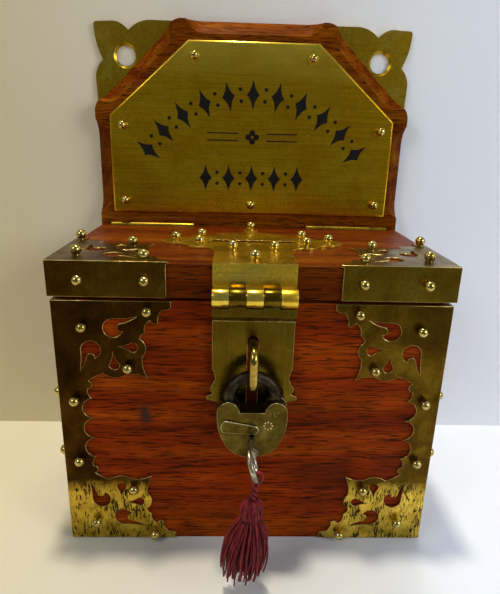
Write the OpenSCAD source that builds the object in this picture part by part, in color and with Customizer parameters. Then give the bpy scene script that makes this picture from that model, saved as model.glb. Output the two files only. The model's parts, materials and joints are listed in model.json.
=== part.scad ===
// Wall donation box: an oak money box with pierced brass mounts, a full-height
// backboard, a lid with a coin slot, and a hasp closed by a padlock with its key.
// Millimetres. The origin is the centre of the underside, +Z up, +Y into the wall.

/* [Case] */
// Width of the case over its brass mounts
case_w = 198; // [190:1:210]
// Depth of the case, from its front brass to the backboard
case_d = 109; // [104:1:116]
// Height of the case to its outer rim
case_h = 142; // [136:1:152]
// Thickness of the oak case boards
wall_t = 9; // [8:0.5:11]
// Thickness of the bottom board
bottom_t = 8; // [6:0.5:10]
// Depth of the rebate that takes the side boards
rebate_d = 4; // [3:0.5:5]
// Height of the inner lip above the outer rim
lip_h = 1.7; // [1.5:0.1:2.5]
// Distance of the lip from the outside of the oak
lip_in = 3; // [2:0.5:4]

/* [Lid] */
// Width of the lid over its brass mounts
lid_w = 200; // [194:1:212]
// Height of the lid with its brass
lid_h = 18; // [16:0.5:20]
// Distance that the lid stands forward of the case
lid_over = 0.5; // [0:0.1:2]
// Clearance under the lid board
lid_gap = 0.3; // [0.2:0.1:0.5]
// Clearance between the lid's back edge and the backboard
lid_back_gap = 0.5; // [0.4:0.1:0.8]
// Length of the coin slot
slot_w = 50; // [40:1:56]
// Width of the coin slot
slot_d = 5.4; // [5:0.1:6]
// Distance of the coin slot from the front of the lid
slot_y = 53; // [50:0.5:56]

/* [Backboard] */
// Width of the backboard
board_w = 200; // [196:1:212]
// Thickness of the backboard
board_t = 12; // [11:0.5:14]
// Height of the backboard above the lid
board_rise = 124.5; // [118:1:132]
// Width of the flat crown
crown_w = 97; // [90:1:104]
// Height of the shoulders above the lid
shoulder_h = 74; // [70:1:78]
// Depth of the stopped chamfers, square to their face
chamfer_d = 5.6; // [4:0.1:6.5]
// Radius of the run-out at each end of a chamfer
chamfer_end_r = 14; // [10:1:18]

/* [Brass] */
// Thickness of the sheet brass mounts
brass_t = 1.2; // [1:0.1:1.6]
// Height at which the case mounts stop above the underside
mount_lift = 0.5; // [0.3:0.1:1]
// Width of the scalloped strip at its valleys
strip_w = 11.5; // [10:0.5:13]
// Reach of each scallop's cusp past its valley
cusp_h = 5.2; // [4:0.2:6]
// Distance between two cusps
cusp_pitch = 11.7; // [11:0.1:12.4]
// Length of the folded lid mounts along each edge
fold_l = 57.3; // [54:0.5:60]
// Thickness of the plaque
plaque_t = 1.4; // [1:0.1:2]
// Width of the plaque
plaque_w = 182; // [176:1:184]
// Height of the plaque
plaque_h = 105.5; // [102:0.5:108]
// Height of the plaque's foot above the lid
plaque_z = 7.3; // [6:0.1:9]
// Width of the plaque's top edge
plaque_top_w = 81; // [76:1:84]
// Height of the plaque's upright sides
plaque_side_h = 61; // [58:0.5:64]
// Thickness of the hanging plates
hang_t = 2; // [1.5:0.1:3]
// Distance between the two hanging holes
hang_pitch = 162; // [160:0.5:164]
// Radius of a hanging hole
hang_r = 6; // [5:0.1:6.4]
// Width of the dished rim round a hanging hole
hang_dish = 1.5; // [1:0.1:2]
// Height of the hanging holes above the lid
hang_z = 104; // [102:0.5:106]

/* [Nails] */
// Radius of a nail's ball head
ball_r = 2.75; // [2.4:0.05:3]
// Height of the ball's centre above the brass
ball_z = 2.5; // [2.2:0.1:2.8]
// Radius of the collar under the ball
collar_r = 1.9; // [1.6:0.1:2.2]
// Radius of a nail's shank
shank_r = 0.9; // [0.8:0.05:1.1]
// Depth of a nail below the face of the brass
nail_depth = 7; // [6:0.5:7.5]
// Clearance round a nail's shank
nail_clear = 0.03; // [0.02:0.01:0.05]

/* [Butt hinges] */
// Length of each butt hinge
butt_l = 55; // [50:1:58]
// Distance from the middle of the lid to a hinge's inner end
butt_x = 38; // [36:0.5:40]
// Radius of the hinge barrel
butt_r = 1.8; // [1.7:0.05:2]
// Radius of the hinge pin
butt_pin_r = 0.8; // [0.7:0.05:0.9]
// Height of a hinge leaf
leaf_h = 14; // [12:0.5:15]
// Thickness of a hinge leaf
leaf_t = 1.2; // [1:0.1:1.4]
// Clearance between two knuckles
knuckle_gap = 0.3; // [0.2:0.05:0.4]
// Running clearance of a hinge pin
pin_clear = 0.05; // [0.03:0.01:0.08]

/* [Hasp] */
// Width of the hasp and its strap
hasp_w = 41; // [38:0.5:43]
// Thickness of the hasp plate
hasp_t = 2; // [1.8:0.1:2.4]
// Radius of the hasp's barrel
barrel_r = 4.8; // [4.6:0.1:5]
// Height of the barrel's axis above the lid's underside
barrel_z = 2.5; // [2.2:0.1:3]
// Radius of the hasp's pin
hasp_pin_r = 2; // [1.6:0.1:2.4]
// Length of the hasp below its barrel's axis
hasp_l = 66; // [64:0.5:68]
// Width of the fork that passes the staple
fork_w = 5.6; // [5.4:0.1:6]
// Height of the fork's closed end below the barrel's axis
fork_top = 21; // [19:0.5:22]
// Thickness of the staple's bar
staple_r = 2.2; // [2:0.05:2.3]
// Height of the staple over its two legs
staple_h = 23.6; // [22.6:0.1:24]
// Depth of the staple's middle below the rim of the case
staple_drop = 29.4; // [29:0.1:30]
// Reach of the staple in front of the case
staple_out = 19; // [19:0.1:20]

/* [Padlock] */
// Thickness of the padlock's body
lock_t = 10; // [9:0.1:10.4]
// Width of the padlock's body
lock_w = 34.6; // [33:0.1:36]
// Height of the padlock's body, from its lobes to its tip
lock_h = 30.7; // [30:0.1:32]
// Radius of the shackle's bar
shackle_r = 2.9; // [2.6:0.05:3]
// Radius of the shackle's bend at the middle of its bar
bend_r = 11.6; // [11.4:0.1:12]
// Play between the shackle and the staple
shackle_play = 0.2; // [0.15:0.05:0.4]
// Height of the keyhole above the padlock's tip
keyhole_z = 10; // [9:0.1:11]
// Radius of the key's shank
key_r = 2.1; // [1.9:0.05:2.2]
// Length of the key's shank outside the padlock
key_out = 12.5; // [11:0.5:14]
// Outer radius of the key's bow
bow_r = 8.5; // [8:0.1:9]
// Radius of the bow's wire
bow_wire_r = 1.25; // [1.1:0.05:1.35]
// Lean of the bow from upright
bow_lean = 17; // [10:1:25]

/* [Tassel] */
// Length of the tassel below the bow's wire
tassel_l = 58; // [50:1:60]
// Radius of the tassel's head
tassel_head_r = 6; // [5:0.1:7]
// Radius of the skirt at its foot
tassel_r = 12; // [10:0.5:13]

/* [Hidden] */
$fn = 48;
eps = 0.01;

oak = "#8a3a14";
brass = "#9a8434";
bright_brass = "#c9b050";
steel = "#4a4744";
crimson = "#5c1020";

// Front face of the oak, and the two faces of the backboard
oak_y = brass_t;
board_y = case_d;
back_y = case_d + board_t;
oak_x = case_w / 2 - brass_t;
inner_x = oak_x - wall_t;
inner_y = oak_y + wall_t;

// Lid: underside, top of the oak and top of the brass
lid_z = case_h + lip_h + lid_gap;
lid_top = lid_z + lid_h;
lid_oak_top = lid_top - brass_t;
lid_front = -lid_over;
lid_oak_y = lid_front + brass_t;
lid_back = board_y - lid_back_gap;
lid_oak_x = lid_w / 2 - brass_t;

// Butt hinge axis, in the corner between the lid's top and the backboard
butt_gap = 0.15;
butt_y = board_y - butt_gap - butt_r;
butt_z = lid_oak_top;
butt_knuckles = 5;
butt_k = butt_l / butt_knuckles;

// Hasp barrel axis
barrel_gap = 0.3;
barrel_y = lid_front - barrel_gap - barrel_r;
barrel_h = lid_z + barrel_z;
hasp_knuckles = 5;
hasp_k = hasp_w / hasp_knuckles;
hasp_back_gap = 0.3;
hasp_y = oak_y - hasp_back_gap - hasp_t;
neck_h = 9.5;
neck_y = barrel_y - 1;

// Staple, shackle and padlock, hung one on another
staple_z = case_h - staple_drop;
staple_low = staple_z - staple_h / 2 + staple_r;
shackle_top_in = staple_low + staple_r + shackle_play;
bend_z = shackle_top_in - (bend_r - shackle_r);
shackle_y = -staple_out + 2 * staple_r + shackle_play + shackle_r;
lock_y = shackle_y;
lock_top = bend_z - 0.1;
lock_tip = lock_top - lock_h;
lock_front = lock_y - lock_t / 2;
lobe_r = lock_w / 2 - bend_r + 0.3;
pivot_x = bend_r;
pivot_z = lock_top - lobe_r - 0.6;
eye_r = 3.6;
eye_t = 4;
rivet_r = 1.5;
slot_clear = 0.4;
cover_x = 1;
cover_z = lock_tip + keyhole_z + 5.9;
cover_t = 1;
cover_gap = 0.1;
cover_l = 19.5;
key_z = lock_tip + keyhole_z;
bow_mid_r = bow_r - bow_wire_r;
bow_y = lock_front - key_out - bow_r + bow_wire_r;
tassel_x = bow_mid_r * sin(bow_lean);
tassel_z = key_z - bow_mid_r * cos(bow_lean);
loop_r = 2.6;
loop_wire_r = 0.8;

// Points of an arc from p to q, without q. The bulge is the tangent of a quarter
// of the arc's angle, positive where the arc turns to the left.
function arc(p, q, bulge, steps = 8) =
    abs(bulge) < 0.001 ? [p] :
    let (
        chord = q - p,
        mid = (p + q) / 2,
        left = [-chord[1], chord[0]],
        centre = mid + left * (1 - bulge * bulge) / (4 * bulge),
        start = atan2(p[1] - centre[1], p[0] - centre[0]),
        radius = norm(p - centre),
        sweep = 4 * atan(bulge)
    )
    [for (i = [0 : steps - 1]) centre + radius * [cos(start + sweep * i / steps),
        sin(start + sweep * i / steps)]];

// A closed outline from corners [x, y, bulge of the side that follows]
function outline(corners, steps = 8) = [
    for (i = [0 : len(corners) - 1])
        let (a = corners[i], b = corners[(i + 1) % len(corners)])
        each arc([a[0], a[1]], [b[0], b[1]], a[2], steps)];

// Two mirrored halves of a shape. The half runs clockwise from the line x = 0 at the
// top to x = 0 at the foot, and here a positive bulge swells outwards.
module both_halves(half, steps = 8) {
    right = outline([for (p = half) [p[0], p[1], -p[2]]], steps);
    polygon(concat(right,
        [for (i = [len(right) - 1 : -1 : 0]) if (right[i][0] > eps) [-right[i][0], right[i][1]]]));
}

// Puts the front-based construction on the origin at the centre of the footprint
module placed() {
    translate([0, -back_y / 2, 0]) children();
}

// A sheet in the upright XZ plane with its back at y, and one in the YZ plane
module front_sheet(y, t) {
    translate([0, y, 0]) rotate([90, 0, 0]) linear_extrude(t) children();
}
module side_sheet(x, t) {
    translate([x, 0, 0]) rotate([90, 0, 90]) linear_extrude(t) children();
}

// --- Pierced brass work -------------------------------------------------

// Corner leaf: its origin is the outer corner and its two arms follow the edges
arm_l = 58.5;
strip_z = 47.6;
leaf_corners = [[0, 0, 0], [arm_l, 0, 0], [58.3, 3.2, 0.25], [54.2, 4.4, -0.25],
    [51.8, 11.4, 0.5], [48, 9.8, -0.35], [45.2, 16.4, -0.25], [42.6, 19.8, 0.5],
    [43.5, 29.6, -0.15], [46, 41.5, -0.2], [35.2, 39.4, 0.35], [23.2, 38.9, -0.1],
    [15.6, 43.2, 0.9], [15, strip_z, 0], [0, strip_z, 0]];
// C-scroll piercing with a tail, and a teardrop piercing
scroll_corners = [[-0.5, -4.9, -0.06], [11.5, -5.9, 0.12], [3.4, -2.4, -0.9], [4.6, 1.8, 1.78]];
drop_corners = [[-6.5, 0, -0.12], [0, -2.7, 1], [0, 2.7, -0.12]];

module leaf_2d() {
    difference() {
        polygon(outline(leaf_corners, 6));
        translate([29.5, 14.2]) polygon(outline(scroll_corners, 10));
        translate([18, 26]) mirror([1, -1]) polygon(outline(scroll_corners, 10));
        translate([38.6, 24.4]) rotate(4) polygon(outline(drop_corners));
        translate([29.3, 34]) rotate(86) polygon(outline(drop_corners));
    }
}
// Nails of a corner leaf, without the one on the strip
leaf_nails = [[15, 13], [47, 4.6], [36.4, 34.8]];

// Full-height mount of one face of the case: two leaves joined by a scalloped strip
strip_len = case_h - mount_lift - 2 * strip_z;
cusps = floor(strip_len / cusp_pitch);
cusp_start = (strip_len - cusps * cusp_pitch) / 2;
scallops = concat([[0, -1, 0], [15, -1, 0], [15, 0, -0.3]],
    [for (i = [0 : cusps]) [strip_w + cusp_h, cusp_start + i * cusp_pitch,
        i < cusps ? -2 * cusp_h / cusp_pitch : -0.3]],
    [[15, strip_len, 0], [15, strip_len + 1, 0], [0, strip_len + 1, 0]]);
strip_nail_z = 52.5;
strip_nail_drop = 53.5;
strip_nails = [strip_nail_z, case_h - strip_nail_drop];

module mount_face_2d() {
    translate([0, mount_lift]) leaf_2d();
    translate([0, case_h]) mirror([0, 1]) leaf_2d();
    translate([0, mount_lift + strip_z]) polygon(outline(scallops));
}

// Nail places on a full-height face, and a nail driven along -Z
mount_nails = concat(leaf_nails, [for (p = leaf_nails) [p[0], case_h - p[1]]],
    [for (z = strip_nails) [8.6, z]]);

module nail() {
    translate([0, 0, -nail_depth]) cylinder(r = shank_r, h = nail_depth + 0.5);
    cylinder(r = collar_r, h = ball_z - ball_r / 2);
    translate([0, 0, ball_z]) sphere(ball_r);
}
module nail_hole() {
    translate([0, 0, -nail_depth - 0.3]) cylinder(r = shank_r + nail_clear, h = nail_depth + 5);
}

// Places children on each nail of the case mounts of one side, left or right
module on_case_nails(side) {
    for (p = mount_nails) {
        translate([side * (case_w / 2 - p[0]), 0, p[1]]) rotate([90, 0, 0]) children();
        translate([side * case_w / 2, p[0], p[1]]) rotate([0, side * 90, 0]) children();
    }
}

module case_mount(side) {
    color(brass) placed() difference() {
        union() {
            front_sheet(brass_t, brass_t) translate([side * case_w / 2, 0])
                mirror([side > 0 ? 1 : 0, 0]) mount_face_2d();
            side_sheet(side > 0 ? case_w / 2 - brass_t : -case_w / 2, brass_t) mount_face_2d();
        }
        on_case_nails(side) nail_hole();
    }
}
module case_mount_left() case_mount(-1);
module case_mount_right() case_mount(1);
module case_mount_nails() {
    color(bright_brass) placed() for (side = [-1, 1]) on_case_nails(side) nail();
}

// --- Oak case -----------------------------------------------------------

module case_front() {
    color(oak) placed() difference() {
        union() {
            translate([-oak_x, oak_y, 0]) cube([2 * oak_x, wall_t, case_h]);
            translate([-oak_x + lip_in, oak_y + lip_in, 0])
                cube([2 * (oak_x - lip_in), wall_t - lip_in, case_h + lip_h]);
        }
        for (side = [-1, 1])
            translate([side > 0 ? inner_x : -oak_x - 1, inner_y - rebate_d, -1])
                cube([wall_t + 1, rebate_d + 1, case_h + lip_h + 2]);
        for (side = [-1, 1]) on_case_nails(side) nail_hole();
        staple_bores();
        staple_plate_seat();
    }
}

module case_side(side) {
    color(oak) placed() difference() {
        union() {
            translate([side > 0 ? inner_x : -oak_x, inner_y - rebate_d, 0])
                cube([wall_t, board_y - inner_y + rebate_d, case_h]);
            translate([side > 0 ? inner_x : -oak_x + lip_in, inner_y - rebate_d, 0])
                cube([wall_t - lip_in, board_y - inner_y + rebate_d, case_h + lip_h]);
        }
        on_case_nails(side) nail_hole();
    }
}
module case_left_side() case_side(-1);
module case_right_side() case_side(1);

module case_bottom() {
    color(oak) placed()
        translate([-inner_x, inner_y, 0]) cube([2 * inner_x, board_y - inner_y, bottom_t]);
}

// --- Staple -------------------------------------------------------------

staple_in = wall_t + 2;
plate_w = 16;
plate_t = 1.5;
staple_bend_r = 5;

module staple_bores() {
    for (dz = [-1, 1])
        translate([0, oak_y - 1, staple_z + dz * (staple_h / 2 - staple_r)])
            rotate([-90, 0, 0]) cylinder(r = staple_r + nail_clear, h = wall_t + 5);
}
module staple_plate_seat() {
    translate([-plate_w / 2, inner_y - plate_t, staple_z - staple_h / 2 - 3])
        cube([plate_w, plate_t + 1, staple_h + 6]);
}
module hasp_staple() {
    leg = staple_h / 2 - staple_r;
    bend = min(staple_bend_r, leg - 0.2);
    front = -staple_out + staple_r;
    color(bright_brass) placed() translate([0, 0, staple_z]) {
        for (dz = [-1, 1]) {
            translate([0, front + bend, dz * leg]) rotate([-90, 0, 0])
                cylinder(r = staple_r, h = inner_y - front - bend);
            translate([0, front + bend, dz * (leg - bend)]) rotate([0, 90, 0])
                rotate([0, 0, dz > 0 ? 180 : 270]) rotate_extrude(angle = 90)
                    translate([bend, 0]) circle(staple_r);
        }
        translate([0, front, -leg + bend]) cylinder(r = staple_r, h = 2 * (leg - bend));
    }
}
module staple_back_plate() {
    color(brass) placed() difference() {
        translate([-plate_w / 2, inner_y - plate_t, staple_z - staple_h / 2 - 3])
            cube([plate_w, plate_t, staple_h + 6]);
        staple_bores();
    }
}

// --- Backboard, plaque and hanging plates ---------------------------------

slope_w = (board_w - crown_w) / 2;
slope_h = board_rise - shoulder_h;
slope_l = norm([slope_w, slope_h]);
slope = [slope_w, -slope_h] / slope_l;
slope_a = atan2(slope_h, slope_w);
// The crown's and the shoulders' corners are rounded, starting at this distance
corner_in = 4;
crown_corner = [crown_w / 2, lid_top + board_rise];
shoulder = [board_w / 2, lid_top + shoulder_h];
board_half = [[0, crown_corner[1], 0],
    [crown_corner[0] - corner_in, crown_corner[1], tan(slope_a / 4)],
    [crown_corner[0] + corner_in * slope[0], crown_corner[1] + corner_in * slope[1], 0],
    [shoulder[0] - corner_in * slope[0], shoulder[1] - corner_in * slope[1],
        tan((90 - slope_a) / 4)],
    [shoulder[0], shoulder[1] - corner_in, 0], [shoulder[0], 0, 0], [0, 0, 0]];
crown_chamfer_l = crown_w - 12;
slope_chamfer_l = slope_l - 8;
side_chamfer_l = shoulder_h - 14;

// Cutter of a chamfer of length l along X, for an arris at the origin between
// the faces -Y and +Z, with both ends run out in an arc
cutter_w = 40;
module stopped_chamfer(l) {
    reach = sqrt(chamfer_end_r * chamfer_end_r - pow(chamfer_end_r - chamfer_d, 2));
    flat = l / 2 - reach;
    rotate([45, 0, 0]) translate([0, cutter_w / 2, 0]) rotate([90, 0, 0])
        linear_extrude(cutter_w)
        intersection() {
            union() {
                translate([-flat, -chamfer_d]) square([2 * flat, chamfer_d + 8]);
                for (side = [-1, 1]) translate([side * flat, chamfer_end_r - chamfer_d])
                    circle(chamfer_end_r);
            }
            translate([-l / 2 - 2, -chamfer_d - 1]) square([l + 4, chamfer_d + 9]);
        }
}

module board_chamfers() {
    translate([0, board_y, lid_top + board_rise]) stopped_chamfer(crown_chamfer_l);
    for (side = [-1, 1]) {
        translate([side * (crown_w + board_w) / 4, board_y,
                lid_top + (board_rise + shoulder_h) / 2])
            rotate([0, side * slope_a, 0]) stopped_chamfer(slope_chamfer_l);
        translate([side * board_w / 2, board_y, lid_top + shoulder_h / 2 - 1])
            rotate([0, side * 90, 0]) stopped_chamfer(side_chamfer_l);
    }
}

module backboard() {
    color(oak) placed() difference() {
        front_sheet(back_y, board_t) both_halves(board_half);
        board_chamfers();
        plaque_nail_places() nail_hole();
        for (side = [-1, 1]) {
            translate([0, 1, 0]) hang_sheet(side, hang_t + 1 + hang_seat, hang_seat);
            butt_places(side) board_leaf_seat();
        }
        hang_screw_places() screw_hole();
        board_screw_places() screw_hole();
    }
}

plaque_half = [[0, plaque_h, 0], [plaque_top_w / 2, plaque_h, 0],
    [plaque_w / 2, plaque_side_h, 0], [plaque_w / 2, 0, 0], [0, 0, 0]];
plaque_nail_list = [[36.6, 96.5], [82.4, 55], [82.4, 8.2]];

module plaque_nail_places() {
    y = board_y - plaque_t;
    for (side = [-1, 1], p = plaque_nail_list)
        translate([side * p[0], y, lid_top + plaque_z + p[1]]) rotate([90, 0, 0]) children();
    translate([0, y, lid_top + plaque_z + 6.5]) rotate([90, 0, 0]) children();
}
module plaque() {
    color(bright_brass) placed() difference() {
        front_sheet(board_y, plaque_t) translate([0, lid_top + plaque_z])
            both_halves(plaque_half);
        plaque_nail_places() nail_hole();
    }
}
module plaque_nails() {
    color(bright_brass) placed() plaque_nail_places() nail();
}

// Hanging plate, let in flush with the board's back; its ear stands past the slope
hang_seat = 0.05;
hang_in = 9.8;
ear_proud = 0.2;
ear_reach = 1;
ear_swell = 0.5;
ear_corner_r = 1.6;
side_notch_in = 4.6;
side_notch_z = 101.4;
side_lobe_l = 10.5;
top_notch_in = 21.2;
top_notch_z = 118.5;
corner_lobe_w = 12;
crown_lobe_in = 34;
module hang_2d(grow = 0) {
    top = board_rise + ear_proud;
    ear = board_w / 2;
    polygon(outline([
        [crown_w / 2 - hang_in - grow, top - hang_in - grow, 0],
        [ear - hang_in - grow, shoulder_h - hang_in - grow, 0],
        [ear + grow, shoulder_h + ear_reach, 0],
        [ear + ear_swell + grow, side_notch_z - side_lobe_l, 0.2],
        [ear - side_notch_in, side_notch_z, 0.12],
        [ear + ear_proud + grow, top - 2 * ear_corner_r, 0.41],
        [ear + ear_proud - ear_corner_r, top - ear_corner_r + grow, 0],
        [ear - corner_lobe_w, top - ear_reach + grow, 0.22],
        [ear - top_notch_in, top_notch_z, 0.2],
        [ear - crown_lobe_in, top + grow, 0],
        [crown_w / 2 + ear_reach, top + grow, 0]]));
}
module hang_sheet(side, t, grow = 0) {
    front_sheet(back_y, t) translate([0, lid_top]) mirror([side > 0 ? 0 : 1, 0]) hang_2d(grow);
}
module hang_plate(side) {
    color(brass) placed() difference() {
        hang_sheet(side, hang_t);
        translate([side * hang_pitch / 2, back_y + 1, lid_top + hang_z]) rotate([90, 0, 0])
            cylinder(r = hang_r, h = hang_t + 2);
        translate([side * hang_pitch / 2, back_y - hang_t / 2, lid_top + hang_z])
            rotate([90, 0, 0]) cylinder(r1 = hang_r, r2 = hang_r + 2 * hang_dish, h = hang_t);
        hang_screw_places() screw_hole();
    }
}
module hanging_plate_left() hang_plate(-1);
module hanging_plate_right() hang_plate(1);

// Countersunk wood screw along -Z with its head flush at z = 0
screw_head_r = 2.4;
screw_r = 1.1;
screw_l = 8;
module screw() {
    translate([0, 0, -hang_t]) cylinder(r1 = screw_r, r2 = screw_head_r, h = hang_t);
    translate([0, 0, -screw_l]) cylinder(r = screw_r, h = screw_l - hang_t / 2);
}
module screw_hole() {
    translate([0, 0, -hang_t]) cylinder(r1 = screw_r, r2 = screw_head_r, h = hang_t);
    cylinder(r = screw_head_r, h = 3);
    translate([0, 0, -screw_l - 0.2]) cylinder(r = screw_r, h = screw_l);
}
hang_screw_in = 7;
module hang_screw_places() {
    for (side = [-1, 1], t = [0.11, 0.45, 0.79])
        translate([side * (crown_w / 2 + t * slope_w), back_y,
                lid_top + board_rise - t * slope_h - hang_screw_in])
            rotate([-90, 0, 0]) children();
}
module hanging_plate_screws() {
    color(brass) placed() hang_screw_places() screw();
}

// --- Butt hinges ----------------------------------------------------------

// Moves children from the left end of a hinge on its axis to each side's hinge
module butt_places(side) {
    translate([side > 0 ? butt_x : -butt_x - butt_l, butt_y, butt_z]) children();
}
module along_x(r, l) {
    rotate([0, 90, 0]) cylinder(r = r, h = l);
}
// Knuckles first, first + 2 and so on, with play at their ends
module knuckles(first, r, k, count) {
    for (i = [first : 2 : count - 1])
        translate([i * k + knuckle_gap / 2, 0, 0]) along_x(r, k - knuckle_gap);
}
board_leaf_y = board_y - butt_y;
lid_leaf_y = lid_back - butt_y - leaf_t;
leaf_top = 2.3;

module board_leaf_seat() {
    translate([-hang_seat, board_leaf_y - 1, -leaf_h - hang_seat])
        cube([butt_l + 2 * hang_seat, leaf_t + 1, leaf_h + 1.2 + 2 * hang_seat]);
}
module lid_leaf_seat() {
    translate([-hang_seat, lid_leaf_y - hang_seat, -leaf_h - hang_seat])
        cube([butt_l + 2 * hang_seat, leaf_t + 1, leaf_h + 2]);
    translate([-hang_seat, 0, 0]) along_x(butt_r + 0.3, butt_l + 2 * hang_seat);
    translate([-hang_seat, 0, 0]) cube([butt_l + 2 * hang_seat, 4, 4]);
}
module board_leaf(side) {
    color(brass) placed() difference() {
        butt_places(side) difference() {
            union() {
                translate([0, board_leaf_y, -leaf_h]) cube([butt_l, leaf_t, leaf_h + 1]);
                for (i = [0 : 2 : butt_knuckles - 1]) translate([i * butt_k + knuckle_gap / 2, 0, -1])
                    cube([butt_k - knuckle_gap, board_leaf_y + eps, 2]);
                knuckles(0, butt_r, butt_k, butt_knuckles);
            }
            translate([-1, 0, 0]) along_x(butt_pin_r, butt_l + 2);
        }
        board_screw_places() screw_hole();
    }
}
module hinge_board_leaf_left() board_leaf(-1);
module hinge_board_leaf_right() board_leaf(1);

module lid_leaf(side) {
    color(brass) placed() difference() {
        butt_places(side) difference() {
            union() {
                translate([0, lid_leaf_y, -leaf_h]) cube([butt_l, leaf_t, leaf_h - leaf_top]);
                for (i = [1 : 2 : butt_knuckles - 1]) translate([i * butt_k + knuckle_gap / 2,
                        lid_leaf_y, -leaf_top - eps])
                    cube([butt_k - knuckle_gap, leaf_t, leaf_top + eps]);
                knuckles(1, butt_r, butt_k, butt_knuckles);
            }
            translate([-1, 0, 0]) along_x(butt_pin_r + pin_clear, butt_l + 2);
        }
        lid_screw_places() screw_hole();
    }
}
module hinge_lid_leaf_left() lid_leaf(-1);
module hinge_lid_leaf_right() lid_leaf(1);

module butt_pin(side) {
    color(steel) placed() butt_places(side) along_x(butt_pin_r, butt_l);
}
module hinge_pin_left() butt_pin(-1);
module hinge_pin_right() butt_pin(1);

leaf_screw_x = [butt_k, butt_l / 2, butt_l - butt_k];
module board_screw_places() {
    for (side = [-1, 1], x = leaf_screw_x)
        translate([(side > 0 ? butt_x : -butt_x - butt_l) + x, board_y, butt_z - leaf_h * 0.6])
            rotate([90, 0, 0]) children();
}
module lid_screw_places() {
    for (side = [-1, 1], x = leaf_screw_x)
        translate([(side > 0 ? butt_x : -butt_x - butt_l) + x, lid_back, butt_z - leaf_h * 0.6])
            rotate([-90, 0, 0]) children();
}
module hinge_board_screws() {
    color(brass) placed() board_screw_places() screw();
}
module hinge_lid_screws() {
    color(brass) placed() lid_screw_places() screw();
}

// --- Lid --------------------------------------------------------------------

lid_leaf_nails = [[12, 12], [46.5, 4.4], [35.4, 36]];
lid_side_nail = [3.4, 51];
lid_fold_nails = [15.9, 47.4];

// Places children on the nails of the lid's two corner mounts
module on_lid_nails() {
    for (side = [-1, 1]) {
        for (p = concat(lid_leaf_nails, [lid_side_nail]))
            translate([side * (lid_w / 2 - p[0]), lid_front + p[1], lid_top]) children();
        for (x = lid_fold_nails)
            translate([side * (lid_w / 2 - x), lid_front, lid_z + lid_h / 2])
                rotate([90, 0, 0]) children();
    }
}
strap_nail_list = [[0, 90.5], [43.5, 52.5], [29.5, 63.5], [29.5, 42.5], [11, 30.5], [0, 8]];
module on_strap_nails() {
    for (p = strap_nail_list, side = p[0] > 0 ? [-1, 1] : [1])
        translate([side * p[0], lid_front + p[1], lid_top]) children();
}

module lid_board() {
    color(oak) placed() difference() {
        translate([-lid_oak_x, lid_oak_y, lid_z])
            cube([2 * lid_oak_x, lid_back - lid_oak_y, lid_oak_top - lid_z]);
        coin_slot(0.4);
        on_lid_nails() nail_hole();
        on_strap_nails() nail_hole();
        for (side = [-1, 1]) butt_places(side) lid_leaf_seat();
        lid_screw_places() screw_hole();
    }
}
// The coin slot, with round ends, wider by grow all round
module coin_slot(grow = 0) {
    r = slot_d / 2 + grow;
    translate([0, lid_front + slot_y, lid_z - 1]) {
        for (side = [-1, 1]) translate([side * (slot_w / 2 - slot_d / 2), 0, 0])
            cylinder(r = r, h = lid_h + 2);
        translate([-slot_w / 2 + slot_d / 2, -r, 0]) cube([slot_w - slot_d, 2 * r, lid_h + 2]);
    }
}

module lid_mount(side) {
    color(brass) placed() difference() {
        mirror([side > 0 ? 1 : 0, 0, 0]) {
            translate([-lid_w / 2, lid_front, lid_oak_top]) linear_extrude(brass_t)
                union() {
                    leaf_2d();
                    square([6, fold_l]);
                }
            translate([-lid_w / 2, lid_front, lid_z]) cube([fold_l, brass_t, lid_h]);
            translate([-lid_w / 2, lid_front, lid_z]) cube([brass_t, fold_l, lid_h]);
        }
        on_lid_nails() nail_hole();
    }
}
module lid_mount_left() lid_mount(-1);
module lid_mount_right() lid_mount(1);
module lid_mount_nails() {
    color(bright_brass) placed() on_lid_nails() nail();
}

// Strap round the coin slot: a foliate cross, folded down over the lid's front
strap_half = [[0, 99, -0.1], [3.6, 93.5, 0.5], [2.4, 86, -0.2], [11, 78, 0.3], [22, 73.5, -0.2],
    [26.5, 68.5, 0.5], [36, 63.5, -0.3], [44.5, 60, 0.2], [52, 52.5, 0.2], [44.5, 45, -0.3],
    [36, 41.5, 0.5], [26.5, 36.5, -0.35], [hasp_w / 2, 26, 0], [hasp_w / 2, 0, 0], [0, 0, 0]];
module slot_strap() {
    color(brass) placed() difference() {
        union() {
            translate([0, lid_front, lid_oak_top]) linear_extrude(brass_t)
                both_halves(strap_half, 6);
            translate([-hasp_w / 2, lid_front, lid_z]) cube([hasp_w, brass_t, lid_h]);
            translate([-hasp_w / 2, barrel_y, barrel_h]) {
                knuckles(0, barrel_r, hasp_k, hasp_knuckles);
                for (i = [0 : 2 : hasp_knuckles - 1])
                    translate([i * hasp_k + knuckle_gap / 2, 0, 0])
                        cube([hasp_k - knuckle_gap, lid_front - barrel_y + eps, barrel_r]);
            }
        }
        coin_slot();
        on_strap_nails() nail_hole();
        translate([-hasp_w / 2 - 1, barrel_y, barrel_h]) along_x(hasp_pin_r, hasp_w + 2);
    }
}
module strap_nails() {
    color(bright_brass) placed() on_strap_nails() nail();
}

// --- Hasp -------------------------------------------------------------------

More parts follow.
